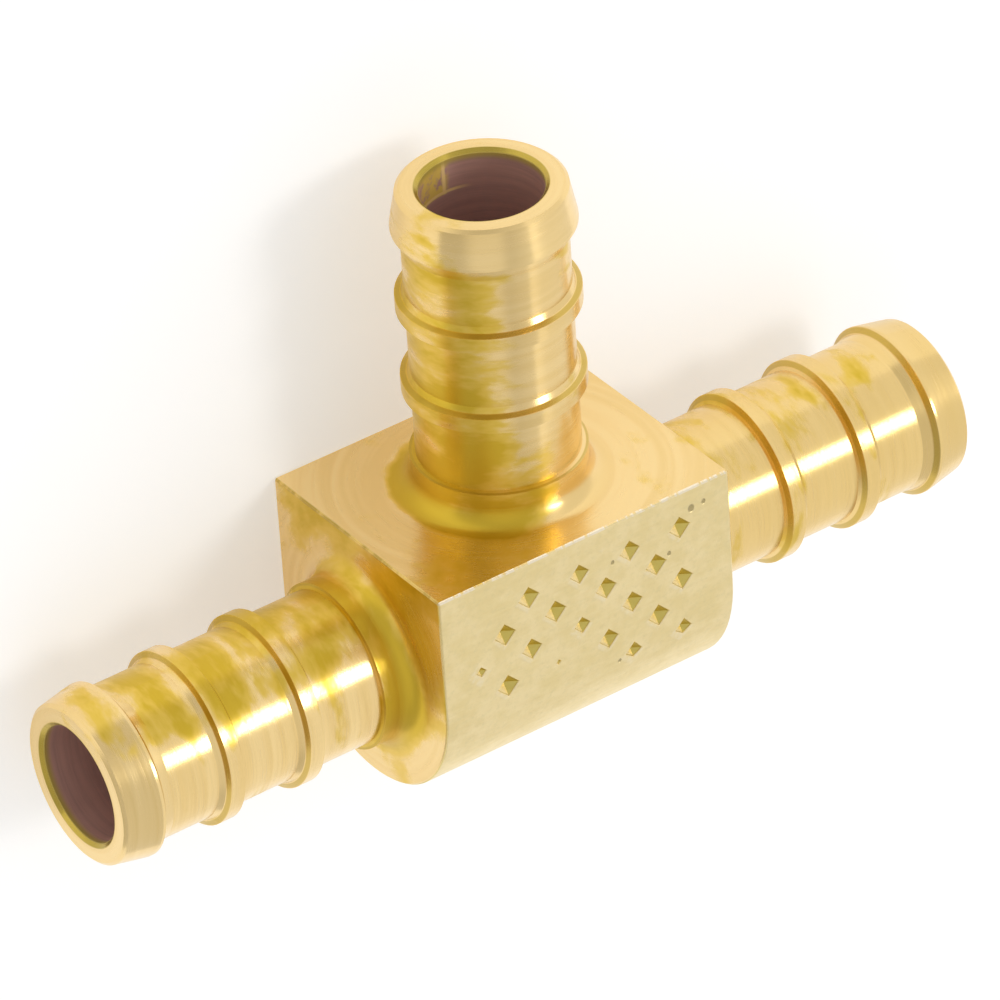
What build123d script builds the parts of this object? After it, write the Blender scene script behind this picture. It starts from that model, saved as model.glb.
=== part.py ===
from build123d import *
import os
from math import cos, radians, sin, tan

# One-piece brass tee for flexible pipe that is held by a crimped ring: a short bar of
# round-bellied section in the middle, with three equal barbed spigots turned on it.
#
# Frame, mm: the run lies along X and the branch points along +Y. The centre lines cross at
# the origin. The tee lies on the bar's flat side (-Z), and the side that was gripped in a
# toothed jaw faces up (+Z).

# Middle bar, cut from a section that is flat on three sides and round on the fourth
bar_half_length = 8.5
bar_half_width = 6.8
branch_face_height = 6.55
belly_centre_drop = 0.1
bar_edge_break = 0.1

# Spigots, measured from the tip face inwards
spigot_length = 16.5
tip_radius = 4.1
tip_edge_break = 0.15
crest_radius = 4.46
neck_radius = 4.0
first_crest_start = 1.9
first_crest_land = 0.15
first_crest_back_cove = 0.75
rib_land_start = 5.78
rib_land = 0.77
rib_front_cove = 0.4
rib_back_slope = 0.25
rib_pitch = 4.55
rib_count = 2
shoulder_start = 14.68
shoulder_radius = 4.3
shoulder_front_slope = 0.07
cove_radius = 0.95
root_depth = 1.0

# Waterways
bore_radius = 3.0
mouth_chamfer = 0.2

# Jaw marks: square teeth standing on their corners, in staggered rows across the gripped side
jaw_half_pitch = 1.48
jaw_first_x = -6.35
jaw_first_y = 4.55
tooth_depth = 0.42
tooth_slope_deg = 45
tooth_tip_width = 0.08
tooth_head_room = 0.3
# How far each tooth bit in, as a share of tooth_depth. Every other row starts half a step in.
jaw_bites = (
    (0, 1, 0.9, 0.95, 1),
    (1, 1, 1, 1),
    (0.45, 0.95, 0.75, 0.95, 1),
    (1, 0.2, 0.9, 1),
    (0, 0, 0, 1.05, 1.05),
)

overcut = 1.0
run_half_length = bar_half_length + spigot_length
branch_reach = branch_face_height + spigot_length


def bar():
    """The middle bar along X, with its sharp edges just broken."""
    side, belly_top = bar_half_width, -belly_centre_drop
    flats = Polyline(
        (-side, belly_top), (-side, branch_face_height), (side, branch_face_height), (side, belly_top)
    )
    belly = ThreePointArc((side, belly_top), (0, belly_top - side), (-side, belly_top))
    section = make_face(flats + belly)
    section = chamfer(section.vertices().sort_by(Axis.Y)[-2:], bar_edge_break)
    across_run = Plane(origin=(-bar_half_length, 0, 0), x_dir=(0, 0, -1), z_dir=(1, 0, 0))
    solid = extrude(across_run * section, amount=2 * bar_half_length)
    ends = solid.faces().filter_by(Axis.X).edges()
    return chamfer(ends, bar_edge_break)


def spigot():
    """One barbed spigot standing on the XY plane, turned about Z, with a root below it."""

    def above(from_tip):
        return spigot_length - from_tip

    def cove(crest, foot):
        """The hollow between a crest's edge and the neck, as two flats on a quarter round."""
        turn = radians(45)
        middle_radius = crest_radius - (crest_radius - neck_radius) * sin(turn)
        middle = crest + (foot - crest) * (1 - cos(turn))
        return [(crest_radius, above(crest)), (middle_radius, above(middle)), (neck_radius, above(foot))]

    # From the tip face down the outside: (radius, height)
    first_land_end = first_crest_start + first_crest_land
    outline = [(0, above(0)), (tip_radius, above(0)), (crest_radius, above(first_crest_start))]
    outline += cove(first_land_end, first_land_end + first_crest_back_cove)
    for i in range(rib_count):
        land = rib_land_start + i * rib_pitch
        land_end = land + rib_land
        outline += cove(land, land - rib_front_cove)[::-1]
        outline += [(crest_radius, above(land_end)), (neck_radius, above(land_end + rib_back_slope))]
    shoulder = shoulder_start + shoulder_front_slope
    outline += [(neck_radius, above(shoulder_start)), (shoulder_radius, above(shoulder))]
    base_radius = shoulder_radius + cove_radius
    edges = Polyline(*outline, (shoulder_radius, cove_radius))
    edges += TangentArc((shoulder_radius, cove_radius), (base_radius, 0), tangent=(0, -1))
    edges += Polyline((base_radius, 0), (base_radius, -root_depth), (0, -root_depth), outline[0])
    half_section = make_face(edges)
    tip_corner = half_section.vertices().sort_by_distance((tip_radius, spigot_length, 0))[0]
    half_section = chamfer(tip_corner, tip_edge_break)
    return revolve(Plane.XZ * half_section, Axis.Z)


def waterway(reach):
    """The hole from the centre to a tip face along Z, widened at its mouth."""
    mouth_radius = bore_radius + mouth_chamfer
    outline = Polyline(
        (0, 0),
        (bore_radius, 0),
        (bore_radius, reach - mouth_chamfer),
        (mouth_radius, reach),
        (mouth_radius, reach + overcut),
        (0, reach + overcut),
        close=True,
    )
    return revolve(Plane.XZ * make_face(outline), Axis.Z)


def jaw_tooth():
    """One tooth of the gripping jaw, pointing down, with its tip on the XY plane."""
    height = tooth_depth + tooth_head_room
    width = tooth_tip_width + 2 * height * tan(radians(tooth_slope_deg))
    tip_start = (width - tooth_tip_width) / 2
    tip_end = tip_start + tooth_tip_width
    tooth = Wedge(width, height, width, tip_start, tip_start, tip_end, tip_end)
    return Pos(0, 0, height / 2) * Rot(0, 0, 45) * Rot(-90, 0, 0) * tooth


def jaw_marks():
    """The teeth of the gripping jaw, as the solids they pressed into the bar."""
    marks = []
    for row, bites in enumerate(jaw_bites):
        start = jaw_first_x + row % 2 * jaw_half_pitch
        for step, bite in enumerate(bites):
            if bite:
                x = start + 2 * step * jaw_half_pitch
                y = jaw_first_y - row * jaw_half_pitch
                marks.append(Pos(x, y, bar_half_width - bite * tooth_depth) * jaw_tooth())
    return marks


left = Plane(origin=(-bar_half_length, 0, 0), x_dir=(0, 1, 0), z_dir=(-1, 0, 0))
right = Plane(origin=(bar_half_length, 0, 0), x_dir=(0, 1, 0), z_dir=(1, 0, 0))
branch = Plane(origin=(0, branch_face_height, 0), x_dir=(1, 0, 0), z_dir=(0, 1, 0))
along_left = Plane(origin=(0, 0, 0), x_dir=(0, 1, 0), z_dir=(-1, 0, 0))
along_right = Plane(origin=(0, 0, 0), x_dir=(0, 1, 0), z_dir=(1, 0, 0))
along_branch = Plane(origin=(0, 0, 0), x_dir=(1, 0, 0), z_dir=(0, 1, 0))

tee = bar() + [seat * spigot() for seat in (left, right, branch)]
tee -= [way * waterway(run_half_length) for way in (along_left, along_right)]
tee -= along_branch * waterway(branch_reach)
tee -= jaw_marks()

os.makedirs("parts", exist_ok=True)
export_step(tee, "parts/tee.step")
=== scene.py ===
import bpy
from math import pi, radians
from types import SimpleNamespace
from mathutils import Matrix, Vector

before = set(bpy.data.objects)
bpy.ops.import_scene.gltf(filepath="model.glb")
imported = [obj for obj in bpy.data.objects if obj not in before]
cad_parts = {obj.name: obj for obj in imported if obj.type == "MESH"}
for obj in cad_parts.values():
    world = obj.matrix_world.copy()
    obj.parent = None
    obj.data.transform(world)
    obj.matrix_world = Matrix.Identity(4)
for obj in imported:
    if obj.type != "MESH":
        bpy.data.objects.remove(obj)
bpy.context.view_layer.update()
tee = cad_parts["tee"]
scene = bpy.context.scene

# The tee, in millimetres in its own frame: the run along X, the branch along +Y, the gripped side up.
# MM turns them to metres.
MM = 0.001
BAR_END = 8.5
BRANCH_FACE = 6.55
GRIPPED_FACE = 6.8
BELLY_CENTRE = -0.1
SPIGOT_LENGTH = 16.5
CREST_RADIUS = 4.46
NECK_RADIUS = 4.0
BORE_RADIUS = 3.0
MOUTH_RADIUS = 3.2
FIRST_CREST_END = 2.05
SHOULDER_END = 14.75

# Jaw marks and what lies beside them on the gripped side
FIRST_MARK_X, FIRST_MARK_Y = -6.35, 4.55
MARK_HALF_PITCH = 1.48
RIM_LEFT, RIM_DOWN = 0.13, 0.12
FAINT_MARK = (-1.91, 0.11)
# Small dark pits: x, y and radius
PITS = ((6.2, 5.37, 0.22), (6.94, 5.45, 0.14), (4.79, 3.38, 0.13), (1.5, 4.35, 0.12), (1.69, -1.56, 0.12))

# Just inside the mouth of the branch: where a painted highlight ring and a painted highlight streak lie
TOOL_STOP_DEPTH = 1.9
HIGHLIGHT_STREAK_X = -0.12

# Slant of the fine scratches in the bar's drawn skin, and the turn of the grain on the turned parts
SCRATCH_ANGLE = radians(-38)
GRAIN_TURN = 0.25

# Colours of the brass
CLEAN, CLEAN_RING = (0.93, 0.69, 0.32), (0.88, 0.635, 0.27)
RIGHT_END = (0.84, 0.595, 0.22)
# Olive stains, which also paint dark reflection at the left root and the left end face
STAIN_AND_DARK_REFLECTION, DEEP_STAIN_AND_DARK_REFLECTION = (0.80, 0.55, 0.08), (0.64, 0.43, 0.025)
# Painted shade for the steep walls of the ribs
RIB_WALL_SHADE = (0.55, 0.37, 0.05)
SKIN, SKIN_MOTTLE, SKIN_SPECKLE = (0.98, 0.81, 0.45), (0.92, 0.75, 0.38), (0.82, 0.69, 0.37)
# Painted highlight for the raised rims of the jaw marks
RIM_HIGHLIGHT = (1.0, 0.87, 0.60)
# Jaw-mark walls: a painted shaded colour and a painted lit colour, chosen by which way each wall faces
MARK_SHADED_WALL, MARK_LIT_WALL = (0.66, 0.53, 0.11), (0.98, 0.82, 0.50)
PIT = (0.36, 0.28, 0.12)
BORE, BORE_STREAK = (0.56, 0.31, 0.25), (0.44, 0.25, 0.21)
# A painted gold reflection and a painted highlight, for the far wall inside the branch's mouth
BORE_GOLD_REFLECTION, BORE_HIGHLIGHT = (0.85, 0.60, 0.10), (1.0, 0.72, 0.28)
MOUTH = (0.52, 0.38, 0.05)
BURR = (0.97, 0.86, 0.66)
EDGE_DARK, EDGE_LIGHT = (0.50, 0.34, 0.08), (0.80, 0.56, 0.17)

# Studio. The floor lies a hair below the part, and its size is in metres.
FLOOR_HEIGHT = -6.82
FLOOR_SIZE = 4.0
FLOOR_GREY = 0.8
FLOOR_GLOW = 0.34
CAMERA_AIM = Vector((1.207, 3.390, -2.033))
CAMERA_BACK = Vector((-0.45406, 0.57155, 0.68349))
CAMERA_UP = Vector((0.37118, 0.81874, -0.43806))
CAMERA_DISTANCE = 431.37
SENSOR_WIDTH = 36.0
LENS = 322.53


# ---------------------------------------------------------------- shader helpers
class Shader:
    """Builds a node tree from plain calls. They return output sockets, and add() returns the node."""

    def __init__(self, tree):
        self.tree = tree
        tree.nodes.clear()

    def fill(self, socket, value):
        if isinstance(value, bpy.types.NodeSocket):
            self.tree.links.new(value, socket)
        else:
            socket.default_value = value

    def add(self, kind, inputs, **settings):
        node = self.tree.nodes.new("ShaderNode" + kind)
        for name, value in settings.items():
            setattr(node, name, value)
        for name, value in inputs.items():
            self.fill(node.inputs[name], value)
        return node

    def math(self, operation, a, b=0.0):
        return self.add("Math", {0: a, 1: b}, operation=operation).outputs[0]

    def times(self, a, *more):
        for b in more:
            a = self.math("MULTIPLY", a, b)
        return a

    def plus(self, a, *more):
        for b in more:
            a = self.math("ADD", a, b)
        return a

    def minus(self, a, b):
        return self.math("SUBTRACT", a, b)

    def over(self, a, b):
        return self.math("DIVIDE", a, b)

    def size(self, a):
        return self.math("ABSOLUTE", a)

    def flip(self, a):
        return self.minus(1.0, a)

    def most(self, a, *more):
        for b in more:
            a = self.math("MAXIMUM", a, b)
        return a

    def length(self, *parts):
        return self.math("SQRT", self.plus(*[self.times(p, p) for p in parts]))

    def step(self, value, low, high, out_low=0.0, out_high=1.0):
        """Goes smoothly from out_low to out_high while value goes from low to high, either way."""
        inputs = {"Value": value, "From Min": low, "From Max": high, "To Min": out_low, "To Max": out_high}
        return self.add("MapRange", inputs, interpolation_type="SMOOTHSTEP").outputs["Result"]

    def split(self, vector):
        return self.add("SeparateXYZ", {0: vector}).outputs

    def vector(self, x, y, z):
        return self.add("CombineXYZ", {"X": x, "Y": y, "Z": z}).outputs[0]

    def spread(self, vector, scale, *, rotate=(0, 0, 0), shift=(0, 0, 0)):
        inputs = {"Vector": vector, "Scale": scale, "Rotation": rotate, "Location": shift}
        return self.add("Mapping", inputs).outputs[0]

    def noise(self, vector, scale, detail, roughness, distortion=0.0):
        inputs = {"Vector": vector, "Scale": scale, "Detail": detail, "Roughness": roughness}
        inputs["Distortion"] = distortion
        return self.add("TexNoise", inputs).outputs["Fac"]

    def blend_value(self, factor, a, b):
        return self.add("Mix", {0: factor, 2: a, 3: b}, data_type="FLOAT").outputs[0]

    def blend(self, factor, a, b):
        """Mixes two colours, or two vectors, each given as numbers or as a socket."""
        a, b = [(*value, 1.0) if isinstance(value, tuple) else value for value in (a, b)]
        node = self.add("Mix", {}, data_type="RGBA")
        for socket, value in ((node.inputs[0], factor), (node.inputs[6], a), (node.inputs[7], b)):
            self.fill(socket, value)
        return node.outputs[2]


def new_material(name):
    material = bpy.data.materials.new(name)
    material.use_nodes = True
    return material, Shader(material.node_tree)


# ---------------------------------------------------------------- brass
def find_zones(s):
    """Where a point lies on the tee, in mm, and masks from 0 to 1 for the zones of the surface."""
    at = SimpleNamespace()
    metres = s.add("TexCoord", {}).outputs["Object"]
    at.place = s.add("VectorMath", {0: metres, "Scale": 1 / MM}, operation="SCALE").outputs[0]
    at.x, at.y, at.z = s.split(at.place)
    at.from_run = s.length(at.y, at.z)
    at.from_branch = s.length(at.x, at.z)
    reach = s.size(at.x)

    at.run_turned = s.step(reach, BAR_END - 0.06, BAR_END - 0.02)
    at.branch_turned = s.times(s.step(at.y, BRANCH_FACE - 0.06, BRANCH_FACE - 0.02), s.flip(at.run_turned))
    at.turned = s.most(at.run_turned, at.branch_turned)

    bore_wall = (BORE_RADIUS + 0.04, BORE_RADIUS + 0.02)
    at.in_branch = s.times(s.step(at.from_branch, *bore_wall), s.step(at.y, -0.1, 0.0))
    at.bore = s.most(s.step(at.from_run, *bore_wall), at.in_branch)
    at.skin = s.times(s.flip(at.turned), s.flip(at.bore))

    run_depth = s.minus(BAR_END + SPIGOT_LENGTH, reach)
    at.branch_depth = s.minus(BRANCH_FACE + SPIGOT_LENGTH, at.y)
    at.from_axis = s.blend_value(at.branch_turned, at.from_run, at.from_branch)
    at.from_tip = s.blend_value(at.branch_turned, run_depth, at.branch_depth)

    mouth_edge = (MOUTH_RADIUS + 0.06, MOUTH_RADIUS - 0.02)
    at.mouth = s.most(
        s.times(s.step(run_depth, 0.6, 0.2), s.step(at.from_run, *mouth_edge)),
        s.times(s.step(at.branch_depth, 0.6, 0.2), s.step(at.from_branch, *mouth_edge)),
    )

    # Tool marks run round each axis, and in rings across the faces that are square to it
    run_rings = s.vector(s.plus(at.x, at.from_run), s.times(at.y, 0.04), s.times(at.z, 0.04))
    branch_rings = s.vector(s.plus(at.y, at.from_branch), s.times(at.x, 0.04), s.times(at.z, 0.04))
    at.rings = s.blend(at.branch_turned, run_rings, branch_rings)
    return at


def add_jaw_marks(s, at):
    """Adds masks for the jaw marks, their rims and the pits."""
    # How deep a point lies under the gripped side, which is flat above and round below
    below = s.math("MINIMUM", s.minus(at.y, BELLY_CENTRE), 0.0)
    round_side = s.math("SQRT", s.minus(GRIPPED_FACE * GRIPPED_FACE, s.times(below, below)))
    depth = s.minus(round_side, at.z)
    off_edge = s.step(at.y, BRANCH_FACE - 0.15, BRANCH_FACE - 0.25)
    near_top = s.times(s.step(depth, 0.6, 0.5), off_edge, s.step(at.z, 3.0, 4.0))
    at.mark = s.times(at.skin, near_top, s.step(depth, 0.02, 0.07))

    # The jaw threw up a raised rim on the lower left of each mark, painted pale as a highlight. The marks'
    # lattice is turned by 45 degrees.
    to_lattice = 0.5 / MARK_HALF_PITCH
    right_by = s.times(s.plus(at.x, RIM_LEFT - FIRST_MARK_X), to_lattice)
    down_by = s.times(s.plus(s.times(at.y, -1.0), FIRST_MARK_Y - RIM_DOWN), to_lattice)
    across_a = s.math("PINGPONG", s.plus(right_by, down_by), 0.5)
    across_b = s.math("PINGPONG", s.minus(right_by, down_by), 0.5)
    beside = s.step(s.most(across_a, across_b), 0.27, 0.19)

    # Parts of the lattice where the jaw left no mark, or hardly any
    top_left = s.times(s.step(at.x, -5.2, -5.6), s.step(at.y, 3.6, 4.0))
    low_left = s.times(s.step(at.x, 1.4, 1.0), s.step(at.y, -0.5, -0.7))
    off_faint = s.step(s.length(s.plus(at.x, -FAINT_MARK[0]), s.plus(at.y, -FAINT_MARK[1])), 0.7, 1.0)
    bitten = s.times(s.flip(top_left), s.flip(low_left), off_faint)
    bitten = s.times(bitten, s.step(at.x, 6.3, 6.0), s.step(at.x, -7.3, -7.0))
    bitten = s.times(bitten, s.step(at.y, -2.4, -2.1), s.step(at.y, 5.5, 5.2))
    at.rim = s.times(beside, bitten, at.skin, near_top, s.flip(at.mark))

    pits = 0.0
    for pit_x, pit_y, radius in PITS:
        away = s.length(s.plus(at.x, -pit_x), s.times(s.plus(at.y, -pit_y), 0.8))
        pits = s.most(pits, s.step(away, radius, radius * 0.5))
    at.pits = s.times(pits, at.skin, near_top)


def add_stains(s, at):
    """Adds masks for the olive stains on the turned parts, laid on thicker at the left root and the left end
    face as painted dark reflection, and for the painted shade on the steep walls of the ribs.
    """
    # Painted shade: the steep walls of the ribs, between the neck and the crest, are darkened
    hollow = s.times(
        s.step(at.from_axis, NECK_RADIUS + 0.14, NECK_RADIUS + 0.20),
        s.step(at.from_axis, CREST_RADIUS, CREST_RADIUS - 0.06),
    )
    past_first_crest = s.step(at.from_tip, FIRST_CREST_END - 0.07, FIRST_CREST_END + 0.01)
    before_cove = s.step(at.from_tip, SHOULDER_END + 0.05, SHOULDER_END - 0.03)
    at.hollow = s.times(hollow, past_first_crest, before_cove, at.turned)

    # Feathered patches, drawn out round each axis
    run_patch = s.spread(at.place, (1.2, 0.5, 0.5))
    branch_patch = s.spread(at.place, (0.5, 1.2, 0.5), shift=(4.0, 1.0, 2.0))
    patches = s.noise(s.blend(at.branch_turned, run_patch, branch_patch), 0.5, 4.0, 0.55, 0.2)

    # They are thickest on top of the run, at the left root, and on the branch's left and foot. At the left
    # root and on the left end face the extra stain is painted dark reflection.
    left = s.step(at.x, -8.0, -9.0)
    on_spigot = s.step(at.from_axis, 5.6, 5.0)
    on_top = s.step(s.over(at.y, at.from_run), 0.50, 0.75)
    run_top = s.times(at.run_turned, on_top, s.plus(0.10, s.times(left, 0.14)))
    # Painted dark reflection: the left root and the left end face get heavier stain
    left_root_dark_reflection = s.times(left, s.step(at.x, -10.7, -10.1), on_spigot)
    left_root_dark_reflection = s.times(left_root_dark_reflection, s.step(s.over(at.z, at.from_run), -0.7, 0.1), 0.38)
    left_face_dark_reflection = s.times(left, s.flip(on_spigot), s.step(at.z, 0.0, 4.0), 0.16)
    on_left = s.step(s.over(at.x, at.from_branch), -0.1, -0.75)
    branch_left = s.times(at.branch_turned, on_left, on_spigot, 0.22)
    branch_foot = s.times(at.branch_turned, s.step(at.y, 12.0, 8.0), s.step(at.x, 1.5, -0.5))
    branch_foot = s.times(branch_foot, s.step(at.from_branch, 6.0, 5.2), 0.16)
    near_tip = s.step(at.from_tip, 3.0, 2.0, 0.0, -0.14)
    everywhere = -0.07
    more = s.plus(s.most(run_top, left_root_dark_reflection), left_face_dark_reflection, branch_left, branch_foot, near_tip, everywhere)
    patches = s.plus(patches, more)
    at.stain = s.times(s.step(patches, 0.50, 0.65), at.turned)
    at.deep_stain = s.times(s.step(patches, 0.62, 0.76), at.turned)


def turned_colour(s, at):
    wide_rings = s.noise(at.rings, 1.6, 2.0, 0.5)
    colour = s.blend(s.step(wide_rings, 0.35, 0.65), CLEAN, CLEAN_RING)
    colour = s.blend(s.times(s.step(at.x, 8.0, 9.0), 0.6), colour, RIGHT_END)
    # Stains, with painted dark reflection at the left root and the left end face
    colour = s.blend(s.times(at.stain, 0.9), colour, STAIN_AND_DARK_REFLECTION)
    colour = s.blend(s.times(at.deep_stain, 0.75), colour, DEEP_STAIN_AND_DARK_REFLECTION)
    # Painted shade on the steep walls of the ribs
    return s.blend(s.times(at.hollow, 0.75), colour, RIB_WALL_SHADE)


def skin_colour(s, at):
    colour = s.blend(s.step(at.mottle, 0.35, 0.65), SKIN, SKIN_MOTTLE)
    colour = s.blend(s.times(s.step(at.speckle, 0.45, 0.75), 0.5), colour, SKIN_SPECKLE)
    # Painted highlight on the raised rims
    colour = s.blend(s.times(at.rim, s.step(at.speckle, 0.35, 0.6), 0.55), colour, RIM_HIGHLIGHT)
    # Painted light and shade: the walls of a mark that face right and up are painted pale, as lit, and the
    # other walls darker, as in shade
    facing = s.split(s.add("NewGeometry", {}).outputs["True Normal"])
    painted_lit_wall = s.step(s.plus(facing["X"], facing["Y"]), 0.3, 0.7)
    colour = s.blend(s.times(at.mark, 0.85), colour, s.blend(painted_lit_wall, MARK_SHADED_WALL, MARK_LIT_WALL))
    return s.blend(s.times(at.pits, 0.7), colour, PIT)


def bore_colour(s, at):
    streaks = s.noise(at.rings, 3.0, 5.0, 0.7)
    colour = s.blend(s.step(streaks, 0.35, 0.7), BORE, BORE_STREAK)

    # Inside the branch's mouth, painted on the far wall: a gold patch of painted reflection, a painted
    # highlight ring where a tool stopped, and a painted highlight streak
    far_wall = s.times(at.in_branch, s.step(at.z, 0.0, -1.0), s.step(at.branch_depth, 2.05, 1.95))
    highlight_ring = s.step(s.size(s.plus(at.branch_depth, -TOOL_STOP_DEPTH)), 0.11, 0.05)
    highlight_ring = s.times(highlight_ring, s.step(at.x, -2.3, -1.7), s.step(at.x, 1.4, 0.2))
    highlight_streak = s.step(s.size(s.plus(at.x, -HIGHLIGHT_STREAK_X)), 0.14, 0.05)
    gold_reflection = s.step(s.noise(at.place, 1.6, 4.0, 0.6), 0.36, 0.52)
    gold_reflection = s.times(s.step(at.x, -2.4, -1.4), s.step(at.x, 0.3, -0.2), gold_reflection)
    colour = s.blend(s.times(far_wall, gold_reflection, 0.9), colour, BORE_GOLD_REFLECTION)
    return s.blend(s.times(far_wall, s.most(highlight_ring, highlight_streak), 0.85), colour, BORE_HIGHLIGHT)


def edge_colour(s, at, colour):
    """The bar's worn edges: bright burrs along the front, and dark and light stretches at the left."""
    front_edge = s.times(
        s.step(at.y, BRANCH_FACE - 0.15, BRANCH_FACE - 0.09),
        s.step(at.z, GRIPPED_FACE - 0.16, GRIPPED_FACE - 0.10),
    )
    breaks = s.noise(s.spread(at.place, (1.0, 0.2, 0.2)), 1.1, 4.0, 0.7)
    burr = s.times(front_edge, s.step(breaks, 0.44, 0.52))
    left_edge = s.times(
        s.step(at.x, 0.12 - BAR_END, 0.08 - BAR_END),
        s.step(at.y, BRANCH_FACE - 0.15, BRANCH_FACE - 0.11),
        s.step(at.z, GRIPPED_FACE, GRIPPED_FACE - 0.2),
    )
    scuffs = s.noise(s.spread(at.place, (0.3, 0.3, 1.0)), 0.9, 5.0, 0.7)
    scuff = s.blend(s.step(scuffs, 0.40, 0.62), EDGE_DARK, EDGE_LIGHT)
    return s.blend(left_edge, s.blend(burr, colour, BURR), scuff)


def brass_material():
    material, s = new_material("brass")
    at = find_zones(s)
    add_jaw_marks(s, at)
    add_stains(s, at)
    at.mottle = s.noise(at.place, 0.8, 5.0, 0.6)
    at.speckle = s.noise(at.place, 3.5, 4.0, 0.7)
    fine_rings = s.noise(at.rings, 9.0, 4.0, 0.65)
    scratch_at = s.spread(at.place, (0.25, 3.0, 0.6), rotate=(0, 0, SCRATCH_ANGLE))
    scratches = s.noise(scratch_at, 2.2, 4.0, 0.7)

    colour = s.blend(at.skin, turned_colour(s, at), skin_colour(s, at))
    colour = s.blend(at.bore, colour, bore_colour(s, at))
    colour = s.blend(s.times(at.mouth, 0.9), colour, MOUTH)
    colour = edge_colour(s, at, colour)

    rough_turned = s.plus(0.18, s.times(s.step(fine_rings, 0.3, 0.7), 0.10), s.times(at.stain, 0.12))
    rough_skin = s.plus(0.36, s.times(s.step(scratches, 0.3, 0.7), 0.12))
    rough = s.plus(s.times(rough_turned, s.flip(at.skin)), s.times(rough_skin, at.skin))
    rough = s.plus(rough, s.times(at.bore, 0.25))

    # Heights in mm
    height = s.times(fine_rings, s.most(at.turned, at.bore), 0.0035)
    relief = s.plus(s.times(scratches, 0.010), s.times(at.mottle, 0.02), s.times(at.speckle, 0.006))
    relief = s.times(relief, at.skin, s.flip(at.mark))
    height = s.plus(height, relief, s.times(at.rim, 0.012), s.times(at.pits, -0.05))
    bump = s.add("Bump", {"Height": height, "Distance": MM, "Strength": 1.0})

    # The grain of the turning runs round each axis
    run_grain = s.add("Tangent", {}, direction_type="RADIAL", axis="X").outputs[0]
    branch_grain = s.add("Tangent", {}, direction_type="RADIAL", axis="Y").outputs[0]
    grain = s.blend(at.branch_turned, run_grain, branch_grain)

    shader = s.add("BsdfPrincipled", {
        "Base Color": colour, "Metallic": s.step(at.bore, 0.0, 1.0, 1.0, 0.25), "Roughness": rough,
        "Normal": bump.outputs[0], "Anisotropic": 0.7, "Anisotropic Rotation": GRAIN_TURN, "Tangent": grain,
    })
    s.add("OutputMaterial", {"Surface": shader.outputs[0]})
    return material


tee.data.materials.clear()
tee.data.materials.append(brass_material())


# ---------------------------------------------------------------- floor, lamp and room
def paper_material():
    """White paper for the camera and in reflections, which still takes the part's shadow."""
    material, s = new_material("paper")
    ray = s.add("LightPath", {}).outputs
    seen = s.most(ray["Is Camera Ray"], ray["Is Glossy Ray"], ray["Is Transmission Ray"])
    paper = s.add("BsdfDiffuse", {"Color": (FLOOR_GREY, FLOOR_GREY, FLOOR_GREY, 1.0)})
    glow = s.add("Emission", {"Color": (1, 1, 1, 1), "Strength": s.times(seen, FLOOR_GLOW)})
    top = s.add("AddShader", {0: paper.outputs[0], 1: glow.outputs[0]})
    # From below it is clear, so that the part's underside can be seen
    clear = s.add("BsdfTransparent", {})
    under = s.times(s.add("NewGeometry", {}).outputs["Backfacing"], ray["Is Camera Ray"])
    both = s.add("MixShader", {0: under, 1: top.outputs[0], 2: clear.outputs[0]})
    s.add("OutputMaterial", {"Surface": both.outputs[0]})
    return material


def add_floor():
    mesh = bpy.data.meshes.new("floor")
    h = FLOOR_SIZE / 2
    mesh.from_pydata([(-h, -h, 0), (h, -h, 0), (h, h, 0), (-h, h, 0)], [], [(0, 1, 2, 3)])
    mesh.materials.append(paper_material())
    floor = bpy.data.objects.new("floor", mesh)
    floor.location = (0, 0, FLOOR_HEIGHT * MM)
    scene.collection.objects.link(floor)
    return floor


def add_lamp(name, direction, distance, width, glow):
    """A square soft box facing the part. At a glow of 1 it looks as bright as white paper."""
    data = bpy.data.lights.new(name, "AREA")
    data.shape = "RECTANGLE"
    data.size, data.size_y = width, width
    data.energy = glow * pi * width * width
    lamp = bpy.data.objects.new(name, data)
    away = Vector(direction).normalized()
    lamp.location = away * distance
    lamp.rotation_euler = away.to_track_quat("Z", "Y").to_euler()
    scene.collection.objects.link(lamp)


def add_room():
    """A soft even grey, lighter on the right and high on the left."""
    room = bpy.data.worlds.new("room")
    scene.world = room
    room.use_nodes = True
    s = Shader(room.node_tree)
    towards = s.split(s.add("TexCoord", {}).outputs["Generated"])
    level = s.step(towards["X"], -0.3, 0.34, 0.60, 0.74)
    high_left = s.times(s.step(towards["X"], -0.05, -0.35), s.step(towards["Z"], 0.40, 0.70), 0.20)
    right = s.step(towards["X"], 0.33, 0.37, 0.0, 0.28)
    far_right = s.step(towards["X"], 0.40, 0.60, 0.0, -0.14)
    level = s.plus(level, high_left, right, far_right)
    backing = s.add("Background", {"Color": (1.0, 1.0, 1.0, 1.0), "Strength": level})
    s.add("OutputWorld", {"Surface": backing.outputs[0]})


floor = add_floor()
add_lamp("key", (0.45, 0.28, 0.85), distance=0.8, width=0.20, glow=8.5)
add_room()

# ---------------------------------------------------------------- camera
camera_data = bpy.data.cameras.new("camera")
camera = bpy.data.objects.new("camera", camera_data)
scene.collection.objects.link(camera)
scene.camera = camera
back = CAMERA_BACK.normalized()
across = CAMERA_UP.cross(back).normalized()
turn = Matrix((across, back.cross(across), back)).transposed().to_4x4()
camera.matrix_world = Matrix.Translation((CAMERA_AIM + back * CAMERA_DISTANCE) * MM) @ turn
camera_data.sensor_width = SENSOR_WIDTH
camera_data.lens = LENS
camera_data.clip_start = 0.01
camera_data.clip_end = 20.0
scene.view_settings.view_transform = "Standard"
